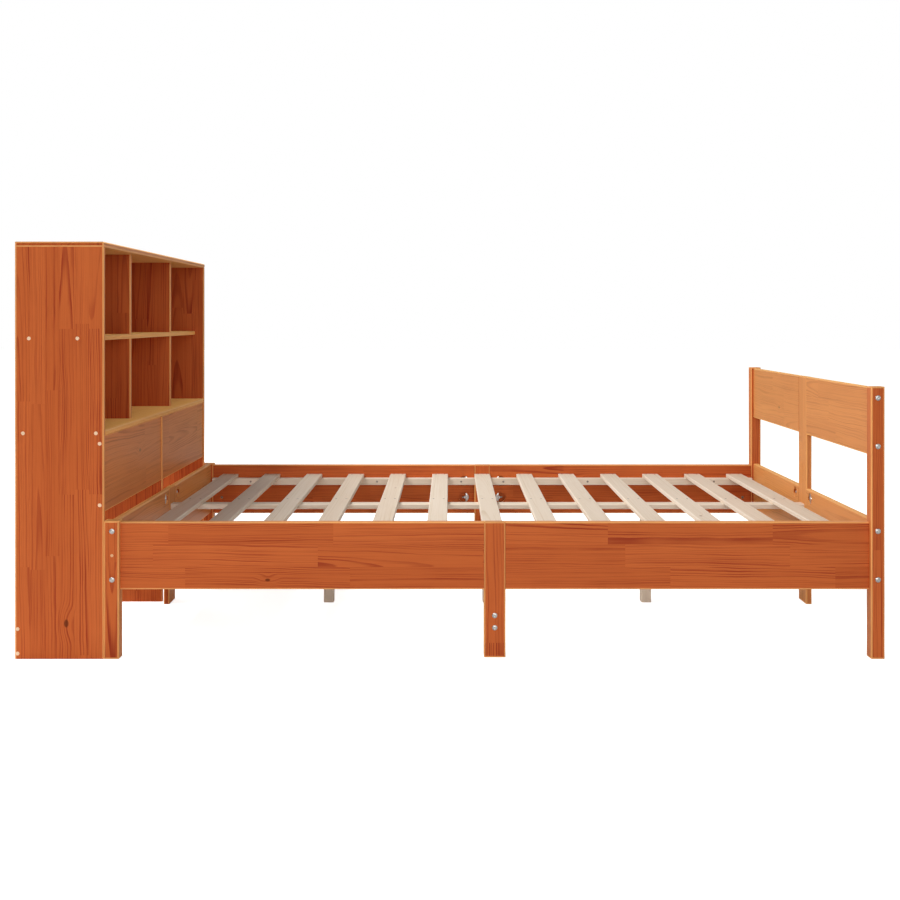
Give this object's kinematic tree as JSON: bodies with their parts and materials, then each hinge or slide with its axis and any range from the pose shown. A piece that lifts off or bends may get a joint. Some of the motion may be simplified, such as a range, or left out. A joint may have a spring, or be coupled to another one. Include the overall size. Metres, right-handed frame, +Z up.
{
  "type": "bookcase headboard bed",
  "caption": "Stained pine bed frame with a tall shelf unit as its headboard, panelled foot end, screwed slats and a centre beam on short legs.",
  "frame": {"origin": "on the floor under the middle of the overall box", "axes": "+X along the bed from the bookcase to the foot end, +Y across the bed, +Z up"},
  "size_m": [2.205, 1.26, 1.058],
  "materials": {
    "stained_pine": "red-brown stain under satin lacquer",
    "natural_pine": "planed, uncoated",
    "zinc_steel": "zinc plated",
    "cream_plastic": "smooth moulded"
  },
  "bodies": {
    "root": {"bookcase_back": "stained_pine", "bookcase_bottom_rail": "stained_pine", "bookcase_centre_support": "stained_pine", "bookcase_divider_far": "stained_pine", "bookcase_divider_near": "stained_pine", "bookcase_lower_shelf": "stained_pine", "bookcase_middle_shelf": "stained_pine", "bookcase_side_far": "stained_pine", "bookcase_side_near": "stained_pine", "bookcase_top": "stained_pine", "centre_beam": "natural_pine", "centre_leg_foot": "natural_pine", "centre_leg_head": "natural_pine", "centre_leg_middle": "natural_pine", "cross_nuts": "zinc_steel", "dowels": "natural_pine", "foot_board_far": "stained_pine", "foot_board_near": "stained_pine", "foot_panel_far": "stained_pine", "foot_panel_near": "stained_pine", "foot_post_far": "stained_pine", "foot_post_middle": "stained_pine", "foot_post_near": "stained_pine", "frame_bolts": "zinc_steel", "half_moon_fittings": "zinc_steel", "head_board_far": "stained_pine", "head_board_near": "stained_pine", "head_leg_far": "stained_pine", "head_leg_middle": "stained_pine", "head_leg_near": "stained_pine", "headboard_panel_far": "stained_pine", "headboard_panel_near": "stained_pine", "leg_block_far": "stained_pine", "leg_block_near": "stained_pine", "panel_screws": "zinc_steel", "screw_caps": "cream_plastic", "side_leg_far": "stained_pine", "side_leg_near": "stained_pine", "side_rail_far_foot": "stained_pine", "side_rail_far_head": "stained_pine", "side_rail_near_foot": "stained_pine", "side_rail_near_head": "stained_pine", "slat_01": "natural_pine", "slat_02": "natural_pine", "slat_03": "natural_pine", "slat_04": "natural_pine", "slat_05": "natural_pine", "slat_06": "natural_pine", "slat_07": "natural_pine", "slat_08": "natural_pine", "slat_09": "natural_pine", "slat_10": "natural_pine", "slat_11": "natural_pine", "slat_12": "natural_pine", "slat_13": "natural_pine", "slat_batten_far_foot": "natural_pine", "slat_batten_far_head": "natural_pine", "slat_batten_near_foot": "natural_pine", "slat_batten_near_head": "natural_pine"}
  },
  "joints": []
}
